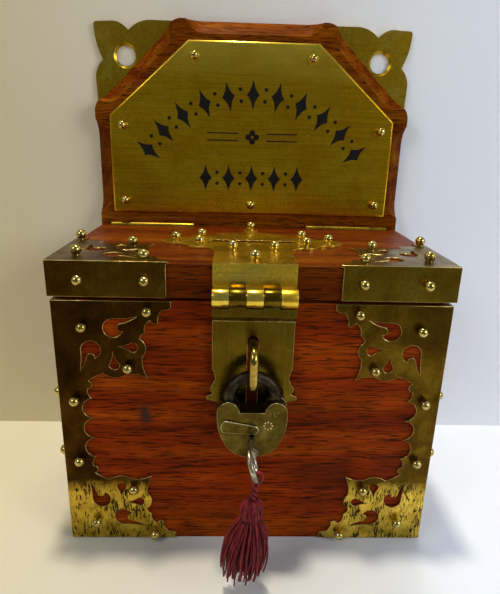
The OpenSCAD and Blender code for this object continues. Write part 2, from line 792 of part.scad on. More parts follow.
// Face of the hasp from its neck down: shoulders, notched waist, ears and taper
hasp_face = [[0, 0, 0], [hasp_w / 2, 0, 0], [hasp_w / 2, -30.4, -0.2], [19.1, -34, -0.3],
    [19.6, -37, -0.1], [21.2, -40, 0.3], [20.2, -43.9, -0.3], [22, -44.9, 0.9],
    [22, -47.9, -0.1], [18.2, -48.6, -0.15], [14, -hasp_l + neck_h, 0],
    [0, -hasp_l + neck_h, 0]];
module hasp_plate() {
    color(brass) placed() translate([0, 0, barrel_h]) difference() {
        union() {
            translate([-hasp_w / 2, barrel_y, 0]) knuckles(1, barrel_r, hasp_k, hasp_knuckles);
            for (i = [1 : 2 : hasp_knuckles - 1])
                translate([-hasp_w / 2 + i * hasp_k + knuckle_gap / 2, 0, 0])
                    hasp_neck(hasp_k - knuckle_gap, barrel_r - 1.2);
            translate([-hasp_w / 2, 0, 0]) hasp_neck(hasp_w, barrel_r + 0.5);
            front_sheet(hasp_y + hasp_t, hasp_t) translate([0, -neck_h])
                both_halves(hasp_face);
        }
        translate([-hasp_w / 2 - 1, barrel_y, 0]) along_x(hasp_pin_r + pin_clear, hasp_w + 2);
        translate([0, hasp_y - 1, -fork_top - fork_w / 2]) {
            rotate([-90, 0, 0]) cylinder(r = fork_w / 2, h = hasp_t + 2);
            translate([-fork_w / 2, 0, -hasp_l]) cube([fork_w, hasp_t + 2, hasp_l]);
        }
    }
}
// Neck from the barrel down and back to the plate, starting at a depth below the axis
module hasp_neck(w, start) {
    rotate([90, 0, 90]) linear_extrude(w) polygon([[neck_y, -start],
        [neck_y + hasp_t, -start], [neck_y + hasp_t, -neck_h + 0.8],
        [hasp_y + hasp_t, -neck_h - 1.2], [hasp_y + hasp_t, -neck_h - 4],
        [hasp_y, -neck_h - 4], [neck_y, -neck_h]]);
}
module hasp_pin() {
    color(brass) placed() translate([-hasp_w / 2, barrel_y, barrel_h])
        along_x(hasp_pin_r, hasp_w);
}

// --- Padlock ------------------------------------------------------------------

socket_d = 6;
leg_end = lock_top - socket_d;
link_z = bend_z;
module shackle() {
    color(steel) placed() translate([0, shackle_y, 0]) difference() {
        union() {
            translate([0, 0, link_z]) rotate([90, 0, 0]) rotate_extrude(angle = 180)
                translate([bend_r, 0]) circle(shackle_r);
            translate([-bend_r, 0, leg_end]) cylinder(r = shackle_r, h = link_z - leg_end);
            translate([pivot_x - shackle_r, -eye_t / 2, pivot_z])
                cube([2 * shackle_r, eye_t, link_z - pivot_z + 1]);
            translate([pivot_x, eye_t / 2, pivot_z]) rotate([90, 0, 0])
                cylinder(r = eye_r, h = eye_t);
        }
        translate([pivot_x, eye_t, pivot_z]) rotate([90, 0, 0])
            cylinder(r = rivet_r + pin_clear, h = 2 * eye_t);
    }
}
// Shield-shaped face, from the waist between the two lobes down to the tip
lock_half = [[0, lock_h - 5.8, 0], [bend_r - lobe_r + 0.8, lock_h - 5.8, 0.36],
    [bend_r, lock_h, 0.41], [lock_w / 2, lock_h - lobe_r, 0.05],
    [16.6, 15.5, 0.14], [10, 3, 0.17], [0, 0, 0]];
module padlock_body() {
    color(brass) placed() difference() {
        translate([0, 0, lock_tip]) front_sheet(lock_y + lock_t / 2, lock_t) both_halves(lock_half);
        // Socket of the free leg
        translate([-bend_r, lock_y, leg_end - 0.4]) cylinder(r = shackle_r + 0.6, h = lock_h);
        // Slot in which the jointed leg turns
        translate([pivot_x, lock_y + eye_t / 2 + slot_clear, pivot_z]) rotate([90, 0, 0])
            linear_extrude(eye_t + 2 * slot_clear) {
                circle(eye_r + slot_clear);
                polygon([[-shackle_r - 2 * slot_clear, -1], [-shackle_r - 2 * slot_clear, 12],
                    [20, 12], [20, 4], [eye_r - 1, -1]]);
            }
        translate([pivot_x, lock_y + lock_t, pivot_z]) rotate([90, 0, 0])
            cylinder(r = rivet_r, h = 2 * lock_t);
        // Keyhole and the chamber in which the bit turns
        translate([0, lock_y + 2, key_z]) rotate([90, 0, 0])
            cylinder(r = key_r + pin_clear, h = lock_t);
        translate([0, lock_y + 2, key_z]) rotate([90, 0, 0]) cylinder(r = bit_r + 0.5, h = 3.5);
        translate([-bit_t / 2 - 0.3, lock_front - 1, key_z]) cube([bit_t + 0.6, 5, bit_r]);
        translate([cover_x, lock_y, cover_z]) rotate([90, 0, 0]) cylinder(r = 0.9, h = lock_t);
    }
}
module shackle_rivet() {
    color(brass) placed() translate([pivot_x, lock_y, pivot_z]) rotate([90, 0, 0]) {
        translate([0, 0, -lock_t / 2]) cylinder(r = rivet_r, h = lock_t);
        for (side = [0, 1]) mirror([0, 0, side]) translate([0, 0, lock_t / 2])
            cylinder(r1 = rivet_r + 0.6, r2 = rivet_r, h = 0.6);
    }
}
// Drop-shaped cover, hung from its narrow end and turned aside to the left
cover_turn = 7;
cover_corners = [[0, -2.4, 0], [0, 2.4, 0], [-15, 3.4, 0.45], [-15, -3.4, 0]];
module keyhole_cover() {
    color(brass) placed() translate([cover_x, lock_front - cover_gap, cover_z])
        rotate([90, 0, 0]) rotate(-cover_turn) linear_extrude(cover_t) difference() {
            union() {
                circle(2.4);
                polygon(outline(cover_corners));
            }
            circle(0.9 + pin_clear);
        }
}
module cover_rivet() {
    color(brass) placed() translate([cover_x, lock_front + 3, cover_z]) rotate([90, 0, 0]) {
        cylinder(r = 0.9, h = 3 + 2 * cover_gap + cover_t);
        translate([0, 0, 3 + 2 * cover_gap + cover_t])
            cylinder(r1 = 1.7, r2 = 1.2, h = 0.7);
    }
}

// Key: shank along Y, bit inside the chamber, ring bow in front
bit_r = 4.2;
bit_t = 1.8;
module key() {
    color("#b0a888") placed() translate([0, 0, key_z]) {
        translate([0, lock_y + 1.5, 0]) rotate([90, 0, 0])
            cylinder(r = key_r, h = lock_y + 1.5 - (bow_y + bow_mid_r) + 0.6);
        translate([-bit_t / 2, lock_y - 1, 0]) cube([bit_t, 2.5, bit_r]);
        translate([0, bow_y, 0]) rotate([0, 90 - bow_lean, 0])
            rotate_extrude() translate([bow_mid_r, 0]) circle(bow_wire_r);
        translate([0, bow_y + bow_mid_r + 1, 0]) rotate([-90, 0, 0])
            cylinder(r = key_r + 0.7, h = 1.6);
    }
}

// --- Tassel ---------------------------------------------------------------------

neck_l = 10;
module on_tassel() {
    placed() translate([tassel_x, bow_y, tassel_z]) children();
}
module tassel_cord() {
    color(crimson) on_tassel() {
        rotate([90, 0, 0]) rotate_extrude() translate([loop_r, 0]) circle(loop_wire_r);
        translate([0, 0, -neck_l - 1]) cylinder(r = 1.5, h = neck_l + 1 - loop_r);
    }
}
module tassel_head() {
    color(crimson) on_tassel() difference() {
        translate([0, 0, -neck_l - tassel_head_r]) scale([1, 1, 1.15]) sphere(tassel_head_r);
        translate([0, 0, -neck_l - 1]) cylinder(r = 1.5, h = 5);
        translate([0, 0, -neck_l - 3 * tassel_head_r + 3.2])
            cube([4 * tassel_head_r, 4 * tassel_head_r, 2 * tassel_head_r], center = true);
    }
}
skirt_fold = 5;
module tassel_skirt() {
    top = neck_l + 2 * tassel_head_r - 3.2;
    color(crimson) on_tassel() rotate_extrude() polygon(outline([
        [0, -tassel_l, 0], [tassel_r * 0.92, -tassel_l, 0.2], [tassel_r, -tassel_l + skirt_fold, 0.1],
        [tassel_head_r * 0.65, -top, 0], [0, -top, 0]], 8));
}

backboard();
plaque();
plaque_nails();
hanging_plate_left();
hanging_plate_right();
hanging_plate_screws();
case_front();
case_left_side();
case_right_side();
case_bottom();
case_mount_left();
case_mount_right();
case_mount_nails();
hasp_staple();
staple_back_plate();
hinge_board_leaf_left();
hinge_board_leaf_right();
hinge_board_screws();
hinge_pin_left();
hinge_pin_right();
lid_board();
lid_mount_left();
lid_mount_right();
lid_mount_nails();
slot_strap();
strap_nails();
hinge_lid_leaf_left();
hinge_lid_leaf_right();
hinge_lid_screws();
hasp_plate();
hasp_pin();
shackle();
padlock_body();
shackle_rivet();
keyhole_cover();
cover_rivet();
key();
tassel_cord();
tassel_head();
tassel_skirt();
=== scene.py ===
import json
import math
import random

import bmesh
import bpy
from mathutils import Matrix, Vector


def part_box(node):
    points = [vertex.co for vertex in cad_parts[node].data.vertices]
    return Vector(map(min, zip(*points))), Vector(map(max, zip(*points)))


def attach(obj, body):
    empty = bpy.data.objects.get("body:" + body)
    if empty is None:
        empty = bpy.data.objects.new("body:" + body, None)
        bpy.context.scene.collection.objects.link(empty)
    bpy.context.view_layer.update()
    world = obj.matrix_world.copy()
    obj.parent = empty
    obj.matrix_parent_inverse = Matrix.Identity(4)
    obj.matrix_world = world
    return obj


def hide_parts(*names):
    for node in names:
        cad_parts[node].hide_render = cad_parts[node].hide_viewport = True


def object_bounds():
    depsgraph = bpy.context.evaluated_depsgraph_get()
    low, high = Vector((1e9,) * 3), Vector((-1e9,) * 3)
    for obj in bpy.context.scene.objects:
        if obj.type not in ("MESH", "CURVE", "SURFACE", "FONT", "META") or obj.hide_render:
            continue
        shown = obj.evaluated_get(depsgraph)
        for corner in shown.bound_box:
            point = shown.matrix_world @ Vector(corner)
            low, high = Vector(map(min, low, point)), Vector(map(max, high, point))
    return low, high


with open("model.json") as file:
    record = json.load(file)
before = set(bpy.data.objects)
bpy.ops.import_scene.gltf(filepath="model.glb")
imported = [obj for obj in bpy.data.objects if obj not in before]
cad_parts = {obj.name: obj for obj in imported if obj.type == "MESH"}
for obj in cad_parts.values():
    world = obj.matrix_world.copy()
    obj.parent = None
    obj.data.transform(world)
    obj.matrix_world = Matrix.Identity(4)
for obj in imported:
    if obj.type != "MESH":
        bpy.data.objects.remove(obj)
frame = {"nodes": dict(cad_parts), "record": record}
cad_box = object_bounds()
scene = bpy.context.scene

# --- Camera -------------------------------------------------------------
# A short lens held a little above the lid, close to the box and looking
# slightly down on it.
CAMERA_PLACE = (-0.0099, -0.2950, 0.2201)
CAMERA_TURN = (72.284, -1.479, -1.413)
CAMERA_LENS = 30.7

camera = bpy.data.objects.new("camera", bpy.data.cameras.new("camera"))
camera.data.lens = CAMERA_LENS
camera.data.clip_start = 0.01
camera.location = CAMERA_PLACE
camera.rotation_euler = [math.radians(turn) for turn in CAMERA_TURN]
scene.collection.objects.link(camera)
scene.camera = camera
scene.view_settings.view_transform = "Standard"

# --- Table and wall -----------------------------------------------------
# A pale painted table top, and the plain wall that the back of the box
# rests against. Both carry painted light: warmer at the left and cooler at
# the right. The wall shows from its front only.
TABLE_SPAN = 6.0
TABLE_FRONT = -0.42
WALL_GAP = 0.0006
# Painted light: table and wall are tinted warm at the left and cool at the right, for the colour of
# the light there.
TABLE_WARM = (0.62, 0.56, 0.385)
TABLE_COOL = (0.66, 0.70, 0.77)
WALL_WARM = (0.76, 0.66, 0.42)
WALL_COOL = (0.93, 0.95, 0.98)
WARM_TO_COOL = (-0.16, 0.12)
TABLE_ROUGH, WALL_ROUGH = 0.5, 0.8
PAINT_PATCH, PAINT_SPREAD = 0.3, 0.05


def add(tree, kind, settings=None, **sockets):
    """Adds a shader node. Each socket is set to a value or fed by an output."""
    made = tree.nodes.new("ShaderNode" + kind)
    for key, value in (settings or {}).items():
        setattr(made, key, value)
    for key, value in sockets.items():
        socket = made.inputs[key.replace("_", " ")]
        if isinstance(value, bpy.types.NodeSocket):
            tree.links.new(value, socket)
        else:
            socket.default_value = value
    return made


def new_finish(name):
    """An empty material: its tree and its shader come back with it."""
    material = bpy.data.materials.new(name)
    material.use_nodes = True
    return material, material.node_tree, material.node_tree.nodes["Principled BSDF"]


def place_along(tree, axis):
    """How far along X, Y or Z a point lies on its piece."""
    place = add(tree, "TexCoord").outputs["Object"]
    return add(tree, "SeparateXYZ", Vector=place).outputs[axis]


def clouds(tree, size, detail=3.0, rough=0.5, distort=0.0, shift=0.0):
    """Noise on the piece's own coordinates, with blobs of that size in metres."""
    sizes = size if isinstance(size, (list, tuple)) else (size, size, size)
    place = add(tree, "TexCoord").outputs["Object"]
    scaled = add(tree, "Mapping", Vector=place, Location=(shift, shift, shift),
                 Scale=[1 / s for s in sizes])
    return add(tree, "TexNoise", Vector=scaled.outputs["Vector"], Scale=1.0, Detail=detail,
               Roughness=rough, Distortion=distort).outputs["Fac"]


def ramp(tree, factor, *stops):
    """A colour for each height of a factor. Stops are (height, colour or grey)."""
    made = add(tree, "ValToRGB", Fac=factor)
    band = made.color_ramp
    for i, (height, colour) in enumerate(stops):
        if 0 < i < len(stops) - 1:
            stop = band.elements.new(height)
        else:
            stop = band.elements[-1 if i else 0]
            stop.position = height
        stop.color = (*(colour if isinstance(colour, tuple) else (colour,) * 3), 1)
    return made.outputs["Color"]


def mixed(tree, factor, first, second, way="MIX"):
    """Two colours mixed or multiplied by a factor."""
    made = add(tree, "Mix", {"data_type": "RGBA", "blend_type": way})
    for i, value in ((0, factor), (6, first), (7, second)):
        if isinstance(value, bpy.types.NodeSocket):
            tree.links.new(value, made.inputs[i])
        else:
            made.inputs[i].default_value = (*value, 1) if i else value
    return made.outputs[2]


def bumped(tree, shader, height, depth, strength=1.0):
    """Gives a shader the relief of a height, which reaches that depth in metres."""
    relief = add(tree, "Bump", Height=height, Distance=depth, Strength=strength)
    tree.links.new(relief.outputs["Normal"], shader.inputs["Normal"])


def flat_sheet(name, corners, material):
    """One large flat face of the surroundings."""
    bm = bmesh.new()
    bm.faces.new([bm.verts.new(corner) for corner in corners])
    mesh = bpy.data.meshes.new(name)
    bm.to_mesh(mesh)
    bm.free()
    made = bpy.data.objects.new(name, mesh)
    mesh.materials.append(material)
    scene.collection.objects.link(made)
    return made


def paint_tinted_by_light(name, warm, cool, rough):
    """Plain paint with painted light: warmer at the left, cooler at the right."""
    material, tree, shader = new_finish(name)
    share = add(tree, "MapRange", Value=place_along(tree, "X"), From_Min=WARM_TO_COOL[0],
                From_Max=WARM_TO_COOL[1]).outputs["Result"]
    tree.links.new(ramp(tree, share, (0.0, warm), (1.0, cool)), shader.inputs["Base Color"])
    tree.links.new(ramp(tree, clouds(tree, PAINT_PATCH), (0.3, rough), (0.7, rough + PAINT_SPREAD)),
                   shader.inputs["Roughness"])
    return material, tree, shader


half = TABLE_SPAN / 2
table_paint = paint_tinted_by_light("table_paint", TABLE_WARM, TABLE_COOL, TABLE_ROUGH)[0]
flat_sheet("table_top", [(-half, TABLE_FRONT, 0), (half, TABLE_FRONT, 0), (half, half, 0),
                         (-half, half, 0)], table_paint)
wall_paint, tree, shader = paint_tinted_by_light("wall_paint", WALL_WARM, WALL_COOL, WALL_ROUGH)
see_through = add(tree, "BsdfTransparent").outputs["BSDF"]
one_sided = add(tree, "MixShader", Fac=add(tree, "NewGeometry").outputs["Backfacing"])
tree.links.new(shader.outputs["BSDF"], one_sided.inputs[1])
tree.links.new(see_through, one_sided.inputs[2])
tree.links.new(one_sided.outputs["Shader"], tree.nodes["Material Output"].inputs["Surface"])
wall_y = cad_box[1].y + WALL_GAP
wall = flat_sheet("wall", [(-half, wall_y, 0), (half, wall_y, 0), (half, wall_y, half),
                           (-half, wall_y, half)], wall_paint)
wall.visible_shadow = False

# --- Lamps --------------------------------------------------------------
# A lamp overhead, soft ones in front to the left and right, and one behind.
# The world is pale behind and above, and dim in front, as a room is.
WORLD_DIM, WORLD_PALE, WORLD_SEEN = 0.18, 0.40, 0.85
WORLD_TINT = (0.76, 0.86, 1.0, 1)
DIM_TO_PALE = (-0.7, 0.1)
LAMP_AIM = Vector((0, 0, 0.12))
LAMPS = [("overhead", (-0.06, 0.030, 1.20), 0.09, 9.8, (1.0, 0.91, 0.74)),
         ("front_left", (-0.85, -0.80, 0.95), 0.55, 4.0, (0.92, 0.95, 1.0)),
         ("front_right", (0.95, -0.70, 0.60), 0.60, 5.5, (0.90, 0.94, 1.0)),
         ("behind", (0.30, 1.10, 0.80), 0.80, 8.0, (1.0, 1.0, 1.0))]

for name, place, size, power, colour in LAMPS:
    lamp = bpy.data.lights.new(name, "AREA")
    lamp.shape = "DISK"
    lamp.size, lamp.energy, lamp.color = size, power, colour
    holder = bpy.data.objects.new(name, lamp)
    holder.rotation_euler = (LAMP_AIM - Vector(place)).to_track_quat("-Z", "Y").to_euler()
    holder.location = place
    scene.collection.objects.link(holder)

world = bpy.data.worlds.new("room")
world.use_nodes = True
scene.world = world
sky = world.node_tree
level = sky.nodes["Background"]
level.inputs["Color"].default_value = WORLD_TINT
forward = add(sky, "SeparateXYZ", Vector=add(sky, "TexCoord").outputs["Generated"]).outputs["Y"]
room = add(sky, "MapRange", Value=forward, From_Min=DIM_TO_PALE[0], From_Max=DIM_TO_PALE[1],
           To_Min=WORLD_DIM, To_Max=WORLD_PALE).outputs["Result"]
path = add(sky, "LightPath").outputs
seen = add(sky, "MapRange", Value=path["Is Camera Ray"], To_Min=room, To_Max=WORLD_SEEN)
sky.links.new(seen.outputs["Result"], level.inputs["Strength"])

# --- Backboard ----------------------------------------------------------
# One wide plank of quartered oak with a flat crown, sloping shoulders and
# chamfers that stop short of each corner, stained and varnished red-brown.
OAK_TONES = ((0.100, 0.0085, 0.0006), (0.190, 0.0190, 0.0008), (0.270, 0.0450, 0.0015))
OAK_GOLDEN = ((0.120, 0.0200, 0.0010), (0.210, 0.0480, 0.0020), (0.300, 0.0900, 0.0040))
OAK_VARNISH = (1.0, 0.60, 0.28, 1)
# Painted highlight: the lighter colour along the oak's eased edges.
OAK_EDGE_HIGHLIGHT = (0.420, 0.150, 0.030)
OAK_PORE = (0.010, 0.0016, 0.0006)
DENT_SHADE_COLOUR = (0.020, 0.016, 0.015)
OAK_EASE = 0.0005
BAND_LENGTH, BAND_WIDTH = 0.20, 0.016
FIBRE_LENGTH, FIBRE_WIDTH = 0.030, 0.0012
PORE_LENGTH, PORE_WIDTH = 0.0095, 0.00062
GLINT_LENGTH, GLINT_WIDTH = 0.020, 0.003
GRIME_PATCH = 0.050
PORE_CROWDING, OAK_RELIEF = -0.12, 0.00018
DENT_SQUASH, DENT_WOBBLE, DENT_CORE, DENT_RIM = 0.55, 0.006, 0.0045, 0.0075
OAK_GLEAM, BACKBOARD_GLEAM, EDGE_GLEAM = 0.09, 0.01, 0.12
MERGE_DISTANCE, FLAT_TURN = 1e-6, math.radians(0.4)
SMOOTH_TURN, SHARP_TURN = 0.01, math.radians(35)


def stretched(along, length, width):
    """The sizes of a noise whose blobs lie along one axis."""
    return [length if axis == along else width for axis in "xyz"]


def weighted(tree, value, weight, rest):
    """A value times its weight, plus another value."""
    made = add(tree, "Math", {"operation": "MULTIPLY_ADD"})
    tree.links.new(value, made.inputs[0])
    made.inputs[1].default_value = weight
    tree.links.new(rest, made.inputs[2])
    return made.outputs["Value"]


def oak_finish(name, along, shift, light, tones, dent_shade=None, gleam=OAK_GLEAM):
    """Varnished oak whose grain runs along one axis: broad bands, fine fibres
    and short dark pores, with grime in soft patches. A dent's place (x, z)
    gets a soft dark spot there: the painted shade of the dent."""
    material, tree, shader = new_finish(name)
    bands = clouds(tree, stretched(along, BAND_LENGTH, BAND_WIDTH), 4, 0.55, 0.8, shift)
    fibres = clouds(tree, stretched(along, FIBRE_LENGTH, FIBRE_WIDTH), 2, 0.5, 0.1, shift + 3)
    pores = clouds(tree, stretched(along, PORE_LENGTH, PORE_WIDTH), 1, 0.4, 0.1, shift + 7)
    grime = clouds(tree, GRIME_PATCH, 4, 0.6, 0.4, shift + 11)
    tone = ramp(tree, bands, (0.34, tones[0]), (0.50, tones[1]), (0.68, tones[2]))
    tone = mixed(tree, 1.0, tone, ramp(tree, fibres, (0.34, 0.74), (0.62, 1.14)), "MULTIPLY")
    tone = mixed(tree, 1.0, tone, ramp(tree, grime, (0.34, 0.65), (0.60, light)), "MULTIPLY")
    crowded = weighted(tree, bands, PORE_CROWDING, pores)
    open_pores = ramp(tree, crowded, (0.500, 0.0), (0.565, 0.72))
    tone = mixed(tree, open_pores, tone, OAK_PORE)
    # Painted shade: a soft dark spot for the shade inside a small dent.
    if dent_shade:
        place = add(tree, "TexCoord").outputs["Object"]
        away = add(tree, "Mapping", Vector=place, Scale=(1, 0, DENT_SQUASH),
                   Location=(-dent_shade[0], 0, -DENT_SQUASH * dent_shade[1]))
        length = add(tree, "VectorMath", {"operation": "LENGTH"}, Vector=away.outputs["Vector"])
        reach = weighted(tree, clouds(tree, 0.004, 3, 0.6, 0.0, shift + 5), DENT_WOBBLE,
                         length.outputs["Value"])
        spot = ramp(tree, reach, (DENT_CORE, 0.85), (DENT_RIM, 0.0))
        tone = mixed(tree, spot, tone, DENT_SHADE_COLOUR)
    tree.links.new(tone, shader.inputs["Base Color"])
    gloss = mixed(tree, open_pores, ramp(tree, grime, (0.3, 0.48), (0.6, 0.34)), (0.6, 0.6, 0.6))
    tree.links.new(gloss, shader.inputs["Roughness"])
    shader.inputs["Specular IOR Level"].default_value = gleam
    shader.inputs["Specular Tint"].default_value = OAK_VARNISH
    relief = mixed(tree, 1.0, ramp(tree, open_pores, (0.0, 1.0), (1.0, 0.0)),
                   ramp(tree, fibres, (0.3, 0.85), (0.7, 1.0)), "MULTIPLY")
    bumped(tree, shader, relief, OAK_RELIEF, 0.7)
    return material


def oak_edge_highlight(name, along, shift):
    """A painted highlight: the thin lighter line along an eased edge, where it catches the light.
    """
    material, tree, shader = new_finish(name)
    blotch = clouds(tree, stretched(along, GLINT_LENGTH, GLINT_WIDTH), 3, 0.6, 0.0, shift)
    tree.links.new(ramp(tree, blotch, (0.35, OAK_TONES[1]), (0.65, OAK_EDGE_HIGHLIGHT)),
                   shader.inputs["Base Color"])
    tree.links.new(ramp(tree, blotch, (0.3, 0.25), (0.7, 0.42)), shader.inputs["Roughness"])
    shader.inputs["Specular IOR Level"].default_value = EDGE_GLEAM
    shader.inputs["Specular Tint"].default_value = OAK_VARNISH
    return material


def copy_of(node):
    """A merged copy of a CAD part, with its flat faces whole."""
    bm = bmesh.new()
    bm.from_mesh(frame["nodes"][node].data)
    bmesh.ops.remove_doubles(bm, verts=bm.verts, dist=MERGE_DISTANCE)
    bmesh.ops.dissolve_limit(bm, angle_limit=FLAT_TURN, verts=bm.verts, edges=bm.edges)
    for face in bm.faces:
        face.smooth = False
        face.material_index = 0
    return bm


def ease_edges(bm, width, keep=None, clamp=True):
    """Rounds every sharp edge a little. The rounding takes the second finish, which paints a
    highlight there.
    """
    for face in bm.faces:
        turns = [edge.calc_face_angle(0) for edge in face.edges]
        face.smooth = any(SMOOTH_TURN < turn < SHARP_TURN for turn in turns)
    edges = [e for e in bm.edges if e.calc_face_angle(0) > SHARP_TURN and (not keep or keep(e))]
    made = bmesh.ops.bevel(bm, geom=edges, offset=width, offset_type="OFFSET", affect="EDGES",
                           segments=2, profile=0.5, material=-1, clamp_overlap=clamp)
    for face in made["faces"]:
        face.material_index = 1
        face.smooth = True


def settle(bm, name, body, materials, nodes=()):
    """Makes the finished piece, lets it ride on its body and stand for its CAD parts."""
    mesh = bpy.data.meshes.new(name)
    bm.to_mesh(mesh)
    bm.free()
    for material in materials:
        mesh.materials.append(material)
    piece = bpy.data.objects.new(name, mesh)
    scene.collection.objects.link(piece)
    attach(piece, body)
    if nodes:
        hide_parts(*nodes)
    return piece


bm = copy_of("backboard")
ease_edges(bm, OAK_EASE)
settle(bm, "backboard_plank", "case",
       [oak_finish("backboard_oak", "x", 0.0, 0.95, OAK_GOLDEN, gleam=BACKBOARD_GLEAM),
        oak_edge_highlight("backboard_edge", "x", 0.5)], ["backboard"])

# --- Case boards --------------------------------------------------------
# Four oak boards of the case, rebated, glued and pinned, with the grain
# running round the box. The bottom is let in between them.
# Where a dent on the case front is painted as a dark spot of shade.
DENT_PLACE = (-0.0555, 0.079)
CASE_LIGHT = 1.35

for node, along, shift, dent_shade in (("case_front", "x", 21.3, DENT_PLACE),
                                  ("case_left_side", "y", 32.1, None),
                                  ("case_right_side", "y", 44.8, None),
                                  ("case_bottom", "x", 55.2, None)):
    bm = copy_of(node)
    ease_edges(bm, OAK_EASE)
    settle(bm, node + "_plank", "case",
           [oak_finish(node + "_oak", along, shift, CASE_LIGHT, OAK_TONES, dent_shade),
            oak_edge_highlight(node + "_edge", along, shift)], [node])

# --- Lid board ----------------------------------------------------------
# A thick oak board, cut through with a slot for coins, with its grain along
# the front. Its oak is painted a little darker than the backboard's.
LID_TONES = ((0.110, 0.0130, 0.0008), (0.200, 0.0340, 0.0014), (0.290, 0.0700, 0.0030))
LID_LIGHT = 0.68

bm = copy_of("lid_board")
ease_edges(bm, OAK_EASE)
settle(bm, "lid_plank", "lid",
       [oak_finish("lid_oak", "x", 63.7, LID_LIGHT, LID_TONES),
        oak_edge_highlight("lid_edge", "x", 63.0)], ["lid_board"])

# --- Case mounts --------------------------------------------------------
# Corner mounts of sheet brass, pierced with a fret saw and folded round the
# corners, with filed edges. Old lacquer has turned them dark olive. Their
# lower corners are painted bright, a painted reflection of the pale table,
# and specked black where the metal has corroded.
BRASS_DARK = (0.022, 0.009, 0.0010)
BRASS_BROWN = (0.064, 0.026, 0.0022)
BRASS_OLIVE = (0.128, 0.063, 0.0050)
BRASS_WARM = (0.230, 0.128, 0.0090)
BRASS_GOLD = (0.480, 0.310, 0.0260)
BRASS_BRIGHT = (0.800, 0.540, 0.0700)
# Painted highlight: the bright brass of eased edges and sawn walls, where they catch the light.
BRASS_EDGE_GLINT = ((0.30, 0.19, 0.035), (0.62, 0.45, 0.13), (0.90, 0.74, 0.34))
BRASS_SPECK = (0.022, 0.014, 0.005)
BRUSH_LENGTH, BRUSH_WIDTH, SCRATCH_SIZE, SCRATCH_DEPTH = 0.040, 0.00045, 0.0007, 0.00003
MOUNT_EASE = 0.00018
SAWN_WIDTH, FLUSH = 0.0014, 0.00002
# The bright low part of each case mount is a painted reflection of the table.
FOOT_HEIGHT, FOOT_BLUR, FOOT_WANDER, FOOT_PATCH = 0.040, 0.004, 0.010, 0.012
SPECK_SIZE, SPECK_CROWD = (0.0011, 0.0011, 0.0042), (0.0050, 0.0050, 0.0140)
SPECK_CROWDING = 0.55


def brass_finish(name, tones, shift, rough, brushed=None, patch=0.020):
    """Old brass in three tones with a mottled patina, and either fine
    scratches or brush lines along one axis. Rough is (shiniest, dullest)."""
    material, tree, shader = new_finish(name)
    shader.inputs["Metallic"].default_value = 1.0
    patina = clouds(tree, patch, 5, 0.62, 0.5, shift)
    marks = clouds(tree, 0.0016, 3, 0.6, 0.0, shift + 2)
    tone = ramp(tree, patina, (0.30, tones[0]), (0.52, tones[1]), (0.78, tones[2]))
    blotch = 0.93 if brushed else 0.78
    tone = mixed(tree, 1.0, tone, ramp(tree, marks, (0.30, blotch), (0.70, 1.12)), "MULTIPLY")
    sizes = stretched(brushed, BRUSH_LENGTH, BRUSH_WIDTH) if brushed else SCRATCH_SIZE
    lines = clouds(tree, sizes, 2.5, 0.6, 0.0, shift + 4)
    if brushed:
        tone = mixed(tree, 1.0, tone, ramp(tree, lines, (0.30, 0.72), (0.70, 1.15)), "MULTIPLY")
    gloss = ramp(tree, patina, (0.34, rough[1]), (0.66, rough[0]))
    tree.links.new(tone, shader.inputs["Base Color"])
    tree.links.new(gloss, shader.inputs["Roughness"])
    bumped(tree, shader, lines, SCRATCH_DEPTH, 0.35 if brushed else 0.2)
    return material


def share_by_height(tree, wander, amount, low, high, ends):
    """Goes from one end value to the other between two heights, raggedly."""
    ragged = weighted(tree, wander, amount, place_along(tree, "Z"))
    return add(tree, "MapRange", Value=ragged, From_Min=low, From_Max=high, To_Min=ends[0],
               To_Max=ends[1]).outputs["Result"]


def foot_reflection_and_specks(material, tones, shift):
    """Paints the low part of a mount's brass bright, a painted reflection of the table, and specks
    it black.
    """
    tree = material.node_tree
    base = tree.nodes["Principled BSDF"].inputs["Base Color"]
    low = share_by_height(tree, clouds(tree, FOOT_PATCH, 4, 0.6, 0.0, shift), FOOT_WANDER,
                          FOOT_HEIGHT - FOOT_BLUR, FOOT_HEIGHT + FOOT_BLUR, (1.0, 0.0))
    shine = ramp(tree, clouds(tree, 0.009, 4, 0.6, 0.3, shift + 1), (0.34, tones[0]),
                 (0.62, tones[1]))
    specks = weighted(tree, clouds(tree, SPECK_CROWD, 3, 0.6, 0.0, shift + 3), SPECK_CROWDING,
                      clouds(tree, SPECK_SIZE, 5, 0.8, 0.2, shift + 2))
    shine = mixed(tree, ramp(tree, specks, (0.79, 0.0), (0.84, 1.0)), shine, BRASS_SPECK)
    tree.links.new(mixed(tree, low, base.links[0].from_socket, shine), base)


def bright_walls(bm, node):
    """Gives the narrow sawn walls of a sheet the second finish, a painted glint, and no outer face.
    """
    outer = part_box(node)
    for face in bm.faces:
        middle = face.calc_center_median()
        if any(abs(middle[i] - side[i]) < FLUSH for i in range(3) for side in outer):
            continue
        if face.calc_area() < SAWN_WIDTH * max(edge.calc_length() for edge in face.edges):
            face.material_index = 1


glint_edge_brass = brass_finish("painted_glint_edge_brass", BRASS_EDGE_GLINT, 1.0, (0.26, 0.36), patch=0.006)
